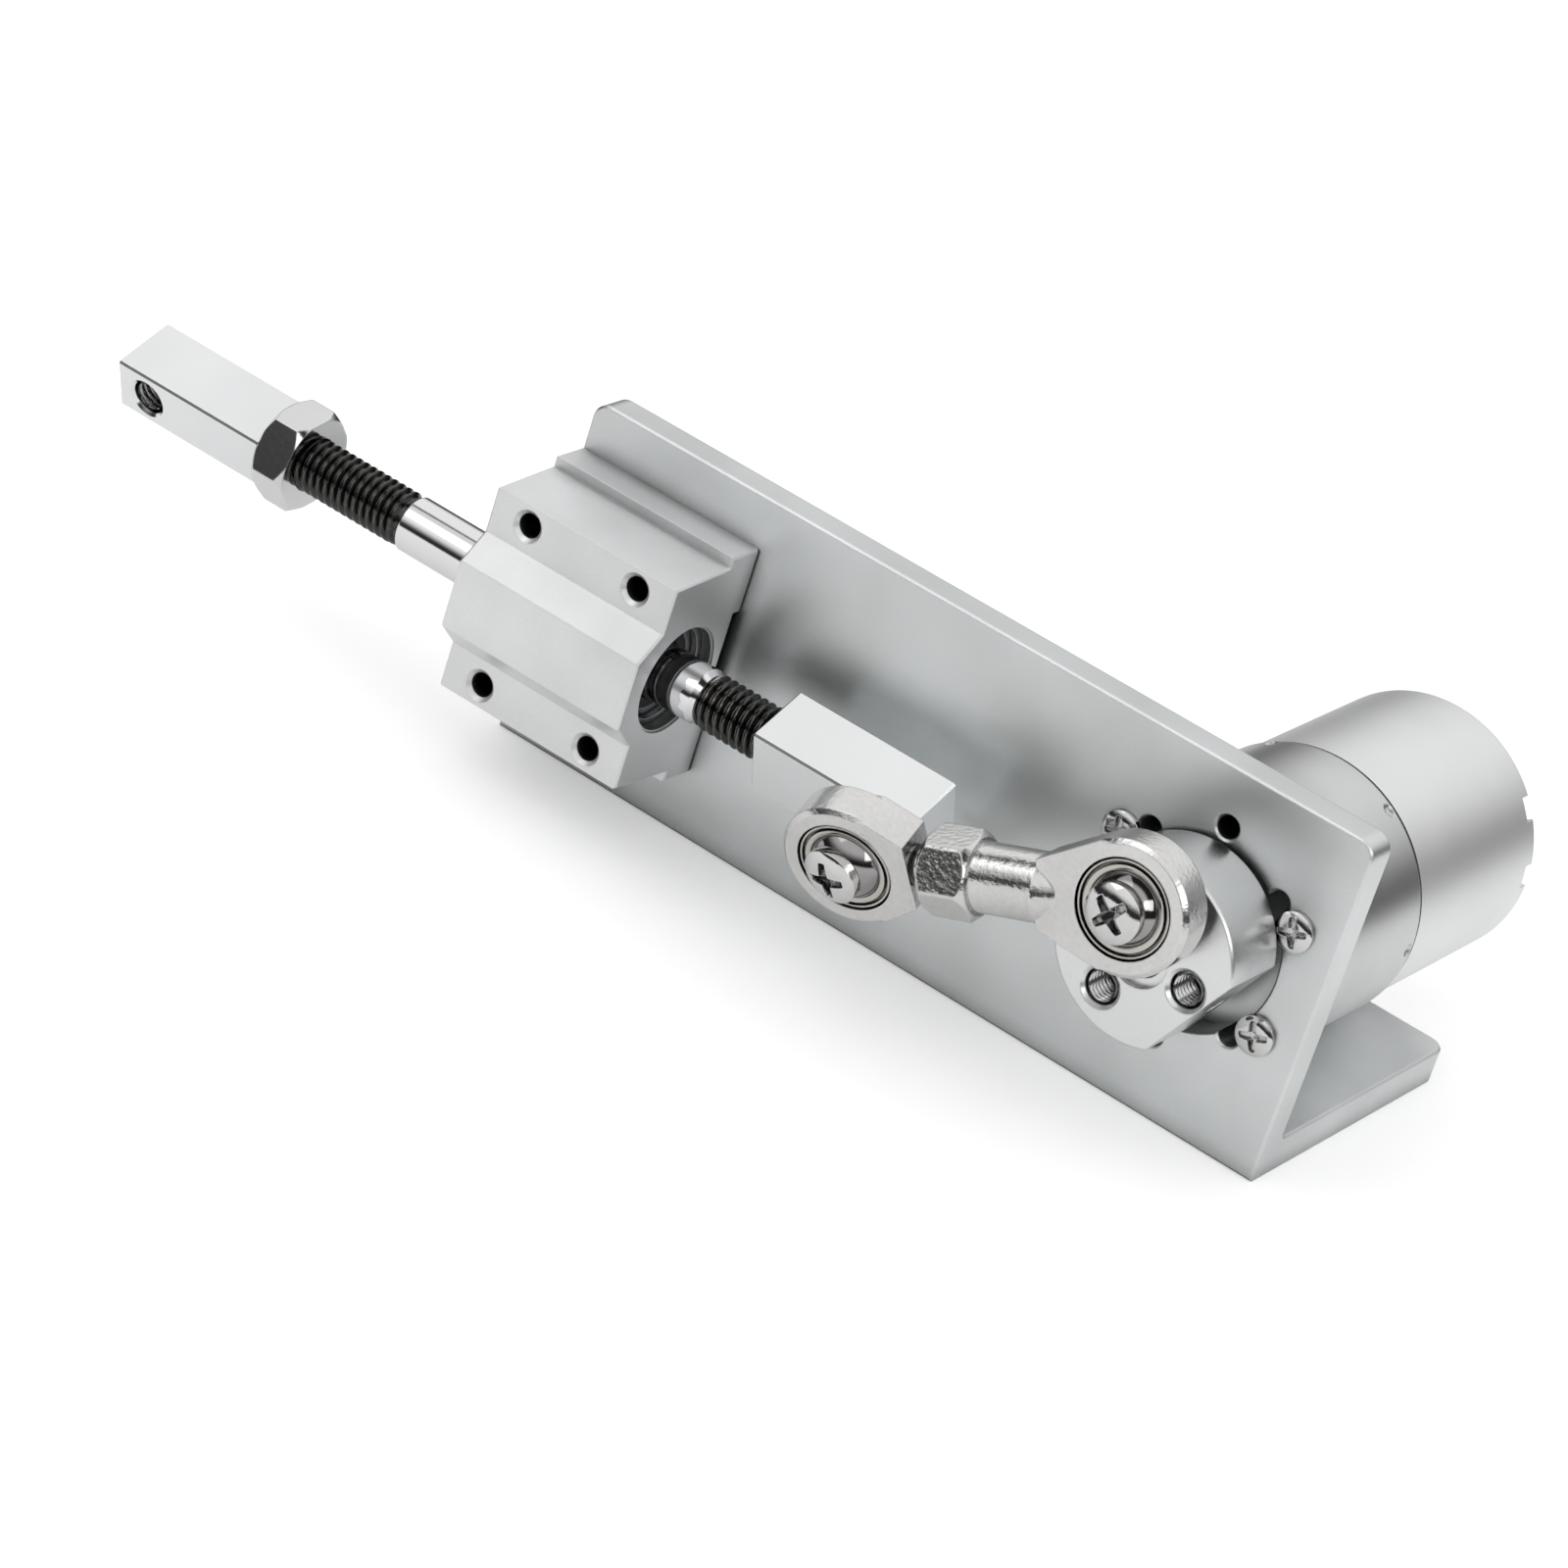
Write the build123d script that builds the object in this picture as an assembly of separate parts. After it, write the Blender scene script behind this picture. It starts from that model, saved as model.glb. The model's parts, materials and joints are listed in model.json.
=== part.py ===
from build123d import *
from math import acos, asin, atan2, cos, degrees, pi, radians, sin, sqrt, tan
import os

# Crank-driven linear actuator: a geared motor behind an angle bracket turns a crank in front of it,
# and a rod with two ball ends drives a round shaft to and fro through a linear bearing block.
# Millimetres. Origin: centre of the bracket foot's underside. +X is the motor end, -Y the front, +Z up.

# Bracket
bracket_length = 125
bracket_height = 50
foot_depth = 50
bracket_wall = 5
bracket_corner = 2.5
bracket_inner_radius = 1
edge_break = 0.3
foot_hole_radius = 2.25
foot_hole_spacing_x = 60
foot_hole_spacing_y = 22
foot_hole_centre_x = -20
foot_hole_centre_y = 6

# Places of the two axes that everything else hangs on
gear_axis_to_end = 19.75
gear_axis_height = 26.5
shaft_axis_height = 25.9
shaft_axis_standoff = 11

# Motor mounting holes in the bracket
plate_bore_radius = 13.2
gearbox_bolt_circle = 31
gearbox_bolt_angles = [30, 90, 150, 210, 270, 330]
gearbox_screw_angles = [30, 150, 210, 330]
spare_bolt_circle = 28
spare_bolt_angles = [45, 135, 225, 315]
m3_radius = 1.5
m3_clearance = 0.1
screw_head_radius = 2.75
screw_head_height = 0.75

# Linear bearing block
block_length = 30
block_flange_half = 17
block_flange_height = 6
block_side_half = 15.5
block_shoulder_half = 14.9
block_shoulder_height = 18
block_slope_half = 8.4
block_crown_half = 4.9
block_height = 22
block_relief_half = 7.5
block_relief_depth = 1.5
block_hole_pitch_x = 18
block_hole_pitch_z = 24
m4_radius = 2
m4_clearance = 0.2
m4_tap_radius = 1.7
m4_countersink = 0.6
m4_socket_radius = 1.6
m4_socket_depth = 2
m4_head_radius = 3.5
m4_head_height = 4
m4_screw_reach = 10
tap_margin = 0.5
bearing_radius = 7.5
bearing_length = 24
bearing_shell_inner = 5.65
cage_inner = 4.25
cage_outer = 5.35
cage_end = 1.2
ball_row_count = 4
ball_row_balls = 9
bearing_ball_radius = 0.78
seal_inner = 4.2
seal_width = 1
circlip_width = 1
circlip_inner = 6.7
circlip_gap = 4
circlip_depth = 0.5

# Sliding shaft and the blocks on its ends
shaft_radius = 4
shaft_length = 108.5
thread_radius = 3.9
far_thread_length = 34.9
near_thread_length = 23.5
thread_engagement = 12
thread_lead_in = 0.8
end_block_length = 25.4
end_block_side = 10
far_block_height = 8
end_block_turn = 24
cross_hole_inset = 5.1
cross_hole_depth = 10
cross_hole_rim = 0.4
nut_across_flats = 13
nut_thickness = 5.5
nut_chamfer = 0.9
nut_turn = 11
m5_radius = 2.5

# Connecting rod with a ball end at each side
eye_to_eye = 40
rod_head_radius = 9
rod_head_width = 6
rod_head_chamfer = 0.6
rod_ball_radius = 5.556
rod_ball_width = 8
race_radius = 6.7
race_width = 5.6
male_shoulder = 9.5
male_shoulder_half = 4.9
male_thread_length = 15
male_thread_start = 6.9
exposed_thread = 2.2
female_wedge_end = 12.2
neck_blend_start = 9.4
neck_radius = 4.6
collar_start = 21.3
collar_chamfer = 0.9
collar_turn = 15
collar_across_flats = 10.6
collar_corner_radius = 6
pivot_washer_thickness = 0.3
pivot_washer_radius = 3.6
crank_washer_thickness = 1
crank_washer_radius = 5
pivot_head_radius = 4
pivot_head_height = 2.3
pivot_head_round = 1.1
pivot_slot_width = 1.1
pivot_slot_length = 4.6
pivot_slot_depth = 1.4

# Crank
crank_radius = 13
crank_thickness = 11.25
crank_gap = 1.15
crank_offset = 0.88
crank_offset_angle = 80
crank_flat = 10.2
crank_flat_angle = -30
crank_pin_radius = 9
crank_pin_angle = 95.3
spare_pin_radius = 7.5
spare_pin_angles = [-118.5, -6.4]
spare_pin_depth = 6
crank_recess_radius = 4.2
crank_recess_depth = 1
set_screw_radius = 1.5
set_screw_length = 5.5
set_screw_from_rear = 3.2
open_pivot_gap = 0.4

# Gearbox
gearbox_radius = 18.5
gearbox_length = 22.5
gearbox_side_wall = 1.5
gearbox_front_wall = 3
gearbox_rear_plate = 2.5
boss_radius = 6
boss_length = 5.4
dimple_radius = 1.2
dimple_depth = 0.5
dimple_count = 6
bush_radius = 4.5
bush_length = 9.6
output_shaft_radius = 3
output_flat_depth = 0.5
module = 0.5
pinion_teeth = 10
wheel_teeth = 26
output_teeth = 28
profile_shift = 0.41
backlash = 0.06
wheel_width = 3
output_gear_width = 4
first_gear_angle = 215
gear_pin_radius = 1
sleeve_radius = 1.5
layer_gap = 0.5

# Motor
can_radius = 18
can_length = 32.5
can_wall = 1.2
motor_shaft_radius = 1.5
bearing_bush_radius = 4
bearing_bush_length = 4
bearing_collar_radius = 5
magnet_thickness = 3.6
magnet_length = 18
magnet_half_angle = 64
armature_radius = 12.2
armature_length = 14
armature_start = 5.5
armature_slots = 5
slot_root = 4.5
winding_radius = 10.8
winding_overhang = 2
commutator_radius = 4
commutator_length = 5
brush_width = 3
brush_length = 6
brush_gap = 0.3
end_cap_thickness = 3
end_cap_inset = 0.8
cap_boss_radius = 5
cap_boss_height = 2.5
terminal_width = 3
terminal_thickness = 0.5
terminal_length = 5
terminal_place = 10
motor_screw_place = 12.5
motor_screw_turn = 5

# Fits
slip = 0.05
running = 0.03
ball_gap = 0.05
press = 0.01

# Derived places
plate_front = -foot_depth / 2
plate_back = plate_front + bracket_wall
bracket_left = -bracket_length / 2
gear_x = bracket_length / 2 - gear_axis_to_end
gear_z = gear_axis_height
shaft_y = plate_front - shaft_axis_standoff
shaft_z = shaft_axis_height
crank_back = plate_front - crank_gap
crank_front = crank_back - crank_thickness
pin_x = gear_x + crank_pin_radius * cos(radians(crank_pin_angle))
pin_z = gear_z + crank_pin_radius * sin(radians(crank_pin_angle))
near_ball_y = crank_front - open_pivot_gap - crank_washer_thickness - rod_ball_width / 2
turn = radians(end_block_turn)
screw_axis = (0, -cos(turn), -sin(turn))
ball_reach = end_block_side / 2 + pivot_washer_thickness + rod_ball_width / 2
far_ball_y = shaft_y + ball_reach * screw_axis[1]
far_ball_z = shaft_z + ball_reach * screw_axis[2]
rise = pin_z - far_ball_z
side_step = near_ball_y - far_ball_y
run = sqrt(eye_to_eye**2 - rise**2 - side_step**2)
pivot_x = pin_x - run
slider_block_right = pivot_x + cross_hole_inset
slider_block_left = slider_block_right - end_block_length
far_block_right = slider_block_left + 2 * thread_engagement - shaft_length
far_block_left = far_block_right - end_block_length
gearbox_back = plate_back + gearbox_length
can_back = gearbox_back + can_length


def box(x0, x1, y0, y1, z0, z1):
    """Box between two corners."""
    return Pos((x0 + x1) / 2, (y0 + y1) / 2, (z0 + z1) / 2) * Box(x1 - x0, y1 - y0, z1 - z0)


def rod_x(x0, x1, y, z, radius):
    return Pos((x0 + x1) / 2, y, z) * Rot(0, 90, 0) * Cylinder(radius, x1 - x0)


def rod_y(y0, y1, x, z, radius):
    return Pos(x, (y0 + y1) / 2, z) * Rot(90, 0, 0) * Cylinder(radius, y1 - y0)


def rod_z(z0, z1, x, y, radius):
    return Pos(x, y, (z0 + z1) / 2) * Cylinder(radius, z1 - z0)


def ring_y(y0, y1, x, z, outer, inner):
    return rod_y(y0, y1, x, z, outer) - rod_y(y0 - 1, y1 + 1, x, z, inner)


def ring_x(x0, x1, y, z, outer, inner):
    return rod_x(x0, x1, y, z, outer) - rod_x(x0 - 1, x1 + 1, y, z, inner)


def front_hole(x, z, radius, y0, y1, rim=edge_break):
    """Cutter for a hole along Y whose front mouth, at y0, is countersunk by the rim."""
    mouth = Pos(x, y0 + rim / 2, z) * Rot(90, 0, 0) * Cone(radius, radius + rim, rim)
    return rod_y(y0 - 1, y1, x, z, radius) + mouth


def around(x, z, radius, angle):
    return x + radius * cos(radians(angle)), z + radius * sin(radians(angle))


def prism_x(points, x0, x1):
    """Closed (y, z) outline swept along X."""
    return extrude(Plane.YZ.offset(x0) * make_face(Polyline(*points, close=True)), x1 - x0)


def prism_y(face, y0, y1):
    """Face drawn in (x, z), swept from y0 back to y1."""
    return extrude(Plane.XZ.offset(-y1) * face, y1 - y0)


def drilled_bracket():
    body = box(bracket_left, -bracket_left, plate_front, -plate_front, 0, bracket_wall)
    body += box(bracket_left, -bracket_left, plate_front, plate_back, 0, bracket_height)
    inner = body.edges().filter_by(Axis.X).sort_by_distance((0, plate_back, bracket_wall))[0]
    body = fillet(inner, bracket_inner_radius)
    top_corners = body.edges().filter_by(Axis.Y).group_by(Axis.Z)[-1]
    body = fillet(top_corners, bracket_corner)
    foot_corners = body.edges().filter_by(Axis.Z).group_by(Axis.Y)[-1]
    body = fillet(foot_corners, bracket_corner)
    body = chamfer(body.faces().sort_by(Axis.Y)[0].edges(), edge_break)
    rim = body.faces().filter_by(Axis.Z).sort_by(Axis.Z)[-2].edges().filter_by(Axis.X).sort_by(Axis.Y)[-1]
    body = chamfer(rim, edge_break)
    body -= front_hole(gear_x, gear_z, plate_bore_radius, plate_front, plate_back + 1)
    gearbox_holes = (gearbox_bolt_circle, gearbox_bolt_angles)
    for circle, angles in (gearbox_holes, (spare_bolt_circle, spare_bolt_angles)):
        for angle in angles:
            x, z = around(gear_x, gear_z, circle / 2, angle)
            body -= front_hole(x, z, m3_radius + m3_clearance, plate_front, plate_back + 1)
    for x, z in block_hole_places():
        body -= rod_y(plate_front - 1, plate_back + 1, x, z, m4_radius + m4_clearance)
    for x, y in foot_hole_places():
        body -= rod_z(-1, bracket_wall + 1, x, y, foot_hole_radius)
    return body


def block_hole_places():
    middle = bracket_left + block_length / 2
    return [(middle + i * block_hole_pitch_x / 2, shaft_z + k * block_hole_pitch_z / 2)
            for i in (-1, 1) for k in (-1, 1)]


def foot_hole_places():
    half_x, half_y = foot_hole_spacing_x / 2, foot_hole_spacing_y / 2
    return [(foot_hole_centre_x + i * half_x, foot_hole_centre_y + k * half_y)
            for i in (-1, 1) for k in (-1, 1)]


def bearing_block():
    half = [(0, block_relief_half), (0, block_flange_half), (block_flange_height, block_flange_half),
            (block_flange_height, block_side_half), (block_shoulder_height, block_shoulder_half),
            (block_shoulder_height, block_slope_half), (block_height, block_crown_half)]
    half = [(block_relief_depth, block_relief_half)] + half
    upper = [(plate_front - up, shaft_z + out) for up, out in half]
    lower = [(plate_front - up, shaft_z - out) for up, out in reversed(half)]
    body = prism_x(upper + lower, bracket_left, bracket_left + block_length)
    ends = body.faces().filter_by(Axis.X)
    body = chamfer(ends.edges(), edge_break)
    block_right = bracket_left + block_length
    body -= rod_x(bracket_left - 1, block_right + 1, shaft_y, shaft_z, bearing_radius + slip)
    for x in (bracket_left, bracket_left + block_length):
        mouth = Pos(x, shaft_y, shaft_z) * Rot(0, 90, 0)
        body -= mouth * Cylinder(bearing_radius + slip + edge_break, 2 * edge_break)
    for groove in circlip_spans():
        body -= rod_x(groove[0], groove[1], shaft_y, shaft_z, bearing_radius + circlip_depth)
    shoulder = plate_front - block_shoulder_height
    for x, z in block_hole_places():
        body -= front_hole(x, z, m4_tap_radius, shoulder, plate_front + 1, m4_countersink)
        body -= rod_y(plate_front - m4_screw_reach - tap_margin, plate_front + 1, x, z, m4_radius + slip)
    return body


def bearing_span():
    middle = bracket_left + block_length / 2
    return middle - bearing_length / 2, middle + bearing_length / 2


def circlip_spans():
    x0, x1 = bearing_span()
    return [(x0 - slip - circlip_width, x0 - slip), (x1 + slip, x1 + slip + circlip_width)]


def bearing_shell():
    x0, x1 = bearing_span()
    return ring_x(x0, x1, shaft_y, shaft_z, bearing_radius, bearing_shell_inner)


def bearing_cage():
    x0, x1 = bearing_span()
    cage = ring_x(x0 + seal_width + slip, x1 - seal_width - slip, shaft_y, shaft_z, cage_outer, cage_inner)
    slot = 2 * (bearing_ball_radius + slip)
    for row in range(ball_row_count):
        window = box(x0 + seal_width + cage_end, x1 - seal_width - cage_end, -slot / 2, slot / 2,
                     shaft_radius, bearing_shell_inner)
        cage -= Pos(0, shaft_y, shaft_z) * Rot(360 / ball_row_count * row, 0, 0) * window
    return cage


def bearing_balls():
    x0, x1 = bearing_span()
    start = x0 + seal_width + cage_end + bearing_ball_radius + slip
    stop = x1 - seal_width - cage_end - bearing_ball_radius - slip
    centre = shaft_radius + running + bearing_ball_radius
    balls = []
    for row in range(ball_row_count):
        for i in range(ball_row_balls):
            x = start + (stop - start) * i / (ball_row_balls - 1)
            ball = Pos(x, 0, centre) * Sphere(bearing_ball_radius)
            balls.append(Pos(0, shaft_y, shaft_z) * Rot(360 / ball_row_count * row, 0, 0) * ball)
    return Compound(balls)


def bearing_seals():
    x0, x1 = bearing_span()
    outer = bearing_shell_inner - slip
    return Compound([ring_x(x0, x0 + seal_width, shaft_y, shaft_z, outer, seal_inner),
                     ring_x(x1 - seal_width, x1, shaft_y, shaft_z, outer, seal_inner)])


def circlips():
    clips = []
    for x0, x1 in circlip_spans():
        outer = bearing_radius + circlip_depth - slip
        clip = ring_x(x0 + press, x1 - press, shaft_y, shaft_z, outer, circlip_inner)
        y0, y1 = shaft_y - circlip_gap / 2, shaft_y + circlip_gap / 2
        clip -= box(x0 - 1, x1 + 1, y0, y1, shaft_z + circlip_inner - 2, shaft_z + block_height)
        clips.append(clip)
    return Compound(clips)


def block_screws():
    screws = []
    for x, z in block_hole_places():
        head = rod_y(plate_back, plate_back + m4_head_height, x, z, m4_head_radius)
        socket = Pos(x, z) * RegularPolygon(m4_socket_radius, 6)
        head_end = plate_back + m4_head_height
        head -= prism_y(socket, head_end - m4_socket_depth, head_end + 1)
        screws.append(head + rod_y(plate_front - m4_screw_reach, plate_back, x, z, m4_radius))
    return Compound(screws)


def sliding_shaft():
    far_end = far_block_right - thread_engagement
    near_end = far_end + shaft_length
    smooth_start, smooth_end = far_end + far_thread_length, near_end - near_thread_length
    smooth = rod_x(smooth_start, smooth_end, shaft_y, shaft_z, shaft_radius)
    threads = rod_x(far_end, near_end, shaft_y, shaft_z, thread_radius)
    threads = chamfer(threads.edges().filter_by(GeomType.CIRCLE), thread_lead_in)
    return smooth + threads


def jam_nut():
    face = Rot(0, 0, nut_turn) * RegularPolygon(nut_across_flats / 2, 6, major_radius=False)
    blank = extrude(Plane.YZ.offset(far_block_right) * (Pos(shaft_y, shaft_z) * face), nut_thickness)
    corner = nut_across_flats / 2 / cos(pi / 6)
    turned = rod_x(far_block_right, far_block_right + nut_thickness, shaft_y, shaft_z, corner)
    turned = chamfer(turned.edges().filter_by(GeomType.CIRCLE), nut_chamfer)
    nut_right = far_block_right + nut_thickness
    bore = rod_x(far_block_right - 1, nut_right + 1, shaft_y, shaft_z, thread_radius + slip)
    return blank & turned - bore


def end_block(x0, height, tap_x0, tap_x1, cross):
    """Bar turned about the shaft: an M8 hole along it between two places and a cross hole at another."""
    half = end_block_side / 2
    body = box(x0, x0 + end_block_length, -half, half, -height / 2, height / 2)
    body = chamfer(body.edges(), edge_break)
    body -= rod_x(tap_x0, tap_x1, 0, 0, thread_radius + slip)
    body -= front_hole(cross, 0, m5_radius + slip, -half, half + 1, cross_hole_rim)
    return Pos(0, shaft_y, shaft_z) * Rot(end_block_turn, 0, 0) * body


def far_end_block():
    tap_start = far_block_right - thread_engagement - tap_margin
    cross = far_block_left + cross_hole_inset
    return end_block(far_block_left, far_block_height, tap_start, far_block_right + 1, cross)


def slider_end_block():
    tap_end = slider_block_left + thread_engagement + tap_margin
    return end_block(slider_block_left, end_block_side, slider_block_left - 1, tap_end, pivot_x)


def pivot_screw(under_head):
    """Pan head screw along local -Y: the head starts at the origin, the shank runs back by under_head."""
    head = rod_y(-pivot_head_height, 0, 0, 0, pivot_head_radius)
    head = fillet(head.edges().filter_by(GeomType.CIRCLE).sort_by(Axis.Y)[0], pivot_head_round)
    wide, reach = pivot_slot_width / 2, pivot_slot_length / 2
    for turned in (45, -45):
        slot = box(-wide, wide, -pivot_head_height - 1, pivot_slot_depth - pivot_head_height, -reach, reach)
        head -= Rot(0, turned, 0) * slot
    return head + rod_y(0, under_head, 0, 0, m5_radius)


def rod_ball():
    """Ball with flat ends and a bore along local Y, at the origin."""
    half = rod_ball_width / 2
    ball = Sphere(rod_ball_radius) & box(-9, 9, -half, half, -9, 9)
    return ball - rod_y(-half - 1, half + 1, 0, 0, m5_radius + slip)


def rod_race():
    """Race around a ball: its axis is local Z."""
    ring = Cylinder(race_radius, race_width)
    return ring - Sphere(rod_ball_radius + ball_gap)


def rod_head(wedge_end, wedge_half):
    """Round eye that narrows along local X to the given half width: the eye's axis is local Z."""
    reach = sqrt(wedge_end**2 + wedge_half**2)
    tangent = atan2(wedge_half, wedge_end) + acos(rod_head_radius / reach)
    tx, ty = rod_head_radius * cos(tangent), rod_head_radius * sin(tangent)
    upper = ((0, ty), (tx, ty), (wedge_end, wedge_half))
    lower = ((wedge_end, -wedge_half), (tx, -ty), (0, -ty))
    outline = Polyline(*upper, *lower, close=True)
    wedge = Pos(0, 0, -rod_head_width / 2) * extrude(make_face(outline), rod_head_width)
    disc = Cylinder(rod_head_radius, rod_head_width)
    disc = chamfer(disc.edges().filter_by(GeomType.CIRCLE), rod_head_chamfer)
    return wedge + disc - Cylinder(race_radius + press, rod_head_width + 1)


def rod_along(x0, x1, radius):
    return rod_x(x0, x1, 0, 0, radius)


def male_rod_end():
    thread = rod_along(male_thread_start, male_shoulder + male_thread_length, m5_radius)
    thread = chamfer(thread.edges().filter_by(GeomType.CIRCLE), edge_break)
    return rod_head(male_shoulder, male_shoulder_half) + thread


def female_length():
    return eye_to_eye - male_shoulder - exposed_thread


def female_rod_end():
    end = female_length()
    blend = female_wedge_end - neck_blend_start
    cone = Cone(rod_head_width / 2, neck_radius, blend)
    body = rod_head(female_wedge_end, neck_radius)
    body += rod_along(female_wedge_end, collar_start + 1, neck_radius)
    body += Pos(neck_blend_start + blend / 2, 0, 0) * Rot(0, 90, 0) * cone
    hexagon = Rot(0, 0, collar_turn) * RegularPolygon(collar_across_flats / 2, 6, major_radius=False)
    collar = extrude(Plane.YZ.offset(collar_start) * hexagon, end - collar_start)
    turned = rod_along(collar_start, end, collar_corner_radius)
    body += collar & chamfer(turned.edges().filter_by(GeomType.CIRCLE), collar_chamfer)
    bore_start = end + exposed_thread - male_thread_length - tap_margin
    return body - rod_along(bore_start, end + 1, m5_radius + slip)


def ball_points():
    far = Vector(pivot_x, far_ball_y, far_ball_z)
    near = Vector(pin_x, near_ball_y, pin_z)
    return far, near


def eye_plane(origin, along, facing):
    """Frame at a ball: X along the rod, Z the eye's axis, as near the given direction as the rod allows."""
    normal = (facing - along * facing.dot(along)).normalized()
    return Plane(origin=origin, x_dir=along, z_dir=normal).location


def crank():
    cx, cz = around(gear_x, gear_z, crank_offset, crank_offset_angle)
    body = rod_y(crank_front, crank_back, cx, cz, crank_radius)
    body = chamfer(body.edges().filter_by(GeomType.CIRCLE), edge_break)
    size = 4 * crank_radius
    beyond = Pos(crank_flat + size / 2, 0, 0) * Box(size, size, size)
    body -= Pos(cx, crank_front, cz) * Rot(0, -crank_flat_angle, 0) * beyond
    body -= rod_y(crank_front - 1, crank_back + 1, gear_x, gear_z, output_shaft_radius + press)
    body -= rod_y(crank_front - 1, crank_front + crank_recess_depth, gear_x, gear_z, crank_recess_radius)
    body -= front_hole(pin_x, pin_z, m5_radius, crank_front, crank_back + 1, 0.5)
    for angle in spare_pin_angles:
        x, z = around(gear_x, gear_z, spare_pin_radius, angle)
        body -= front_hole(x, z, m5_radius, crank_front, crank_front + spare_pin_depth, 0.5)
    return body - set_screw_line(0, 2 * crank_radius, set_screw_radius + slip)


def set_screw_line(start, stop, radius):
    """Rod from the crank's axis out to its flat, between two distances from the axis."""
    y = crank_back - set_screw_from_rear
    return Pos(gear_x, y, gear_z) * Rot(0, -crank_flat_angle, 0) * rod_x(start, stop, 0, 0, radius)


def set_screw():
    start = output_shaft_radius - output_flat_depth + press
    body = set_screw_line(start, start + set_screw_length, set_screw_radius)
    end = start + set_screw_length
    return body - set_screw_line(end - 1.5, end + 1, set_screw_radius / 2)


def output_shaft():
    front = crank_front + crank_recess_depth + slip
    back = output_gear_span()[1] + slip
    body = rod_y(front, back, gear_x, gear_z, output_shaft_radius)
    body = chamfer(body.edges().filter_by(GeomType.CIRCLE), edge_break)
    flat_end = plate_front - boss_length + bracket_wall - layer_gap
    cut_start = output_shaft_radius - output_flat_depth
    flat = box(cut_start, cut_start + 2, front - 1, flat_end, -output_shaft_radius, output_shaft_radius)
    return body - Pos(gear_x, 0, gear_z) * Rot(0, -crank_flat_angle, 0) * flat


def involute(angle):
    return tan(angle) - angle


def gear(teeth, shift, phase, bore, place, y0, y1):
    """Spur gear about a Y axis: involute flanks, with phase the angle of one tooth's middle."""
    pitch = module * teeth / 2
    base = pitch * cos(radians(20))
    tip = pitch + module * (1 + shift)
    root = pitch - module * (1.25 - shift)
    half_pitch = (pi / 2 + 2 * shift * tan(radians(20))) / teeth - backlash / 2 / pitch
    steps = 4
    low = max(base, root)
    flank = []
    for i in range(steps + 1):
        r = low + (tip - low) * i / steps
        half = half_pitch + involute(radians(20)) - involute(acos(min(1, base / r)))
        flank.append((r, half))
    if root < base:
        flank = [(root, flank[0][1])] + flank
    points = []
    for k in range(teeth):
        middle = phase + 2 * pi * k / teeth
        for r, half in flank:
            points.append((r * cos(middle - half), r * sin(middle - half)))
        for r, half in reversed(flank):
            points.append((r * cos(middle + half), r * sin(middle + half)))
    blank = prism_y(Pos(*place) * make_face(Polyline(*points, close=True)), y0, y1)
    return blank - rod_y(y0 - 1, y1 + 1, place[0], place[1], bore)


def mesh_phase(driver_phase, driver_teeth, driven_teeth, line_angle):
    """Phase of a gear whose teeth sit in the gaps of its neighbour, seen along the line of centres."""
    share = (line_angle - driver_phase) / (2 * pi / driver_teeth)
    return line_angle + pi - (0.5 - share) * 2 * pi / driven_teeth


def small_distance():
    return module * (pinion_teeth + wheel_teeth) / 2


def last_distance():
    return module * (pinion_teeth + output_teeth) / 2


def gear_places():
    """Axes of the first and second compound gears, as (x, z)."""
    a, b = small_distance(), last_distance()
    between = degrees(acos(b / (2 * a)))
    first = around(gear_x, gear_z, a, first_gear_angle)
    second = around(gear_x, gear_z, b, first_gear_angle - between)
    return first, second


def angle_between(p, q):
    return atan2(q[1] - p[1], q[0] - p[0])


def output_gear_span():
    front = plate_back + gearbox_front_wall + 1.5
    return front, front + output_gear_width


def second_wheel_span():
    front = output_gear_span()[1] + layer_gap
    return front, front + wheel_width


def first_wheel_span():
    front = second_wheel_span()[1] + 1
    return front, front + wheel_width


def gear_phases():
    """Phase of each toothed ring, from the motor pinion forward."""
    centre = (gear_x, gear_z)
    first, second = gear_places()
    motor = 0
    first_wheel = mesh_phase(motor, pinion_teeth, wheel_teeth, angle_between(centre, first))
    second_wheel = mesh_phase(0, pinion_teeth, wheel_teeth, angle_between(first, second))
    output = mesh_phase(0, pinion_teeth, output_teeth, angle_between(second, centre))
    return motor, first_wheel, second_wheel, output


def compound_gear(place, wheel_span, pinion_span, wheel_phase):
    bore = gear_pin_radius + running
    wheel = gear(wheel_teeth, -profile_shift, wheel_phase, bore, place, *wheel_span)
    return wheel + gear(pinion_teeth, profile_shift, 0, bore, place, *pinion_span)


def first_gear():
    y0, y1 = first_wheel_span()
    return compound_gear(gear_places()[0], (y0, y1), (second_wheel_span()[0] - 0.2, y0), gear_phases()[1])


def second_gear():
    y0, y1 = second_wheel_span()
    return compound_gear(gear_places()[1], (y0, y1), (output_gear_span()[0] - 0.2, y0), gear_phases()[2])


def output_gear():
    phase = gear_phases()[3]
    return gear(output_teeth, -profile_shift, phase, output_shaft_radius + press, (gear_x, gear_z),
                *output_gear_span())


def motor_pinion():
    y0, y1 = first_wheel_span()
    hole = motor_shaft_radius + press
    return gear(pinion_teeth, profile_shift, 0, hole, (gear_x, gear_z), y0 - 0.2, y1 + 0.2)


def rear_plate_front():
    return gearbox_back - gearbox_rear_plate


def gear_pins():
    front = plate_back + gearbox_front_wall - 2
    back = rear_plate_front() + 1.5
    return Compound([rod_y(front, back, x, z, gear_pin_radius) for x, z in gear_places()])


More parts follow.
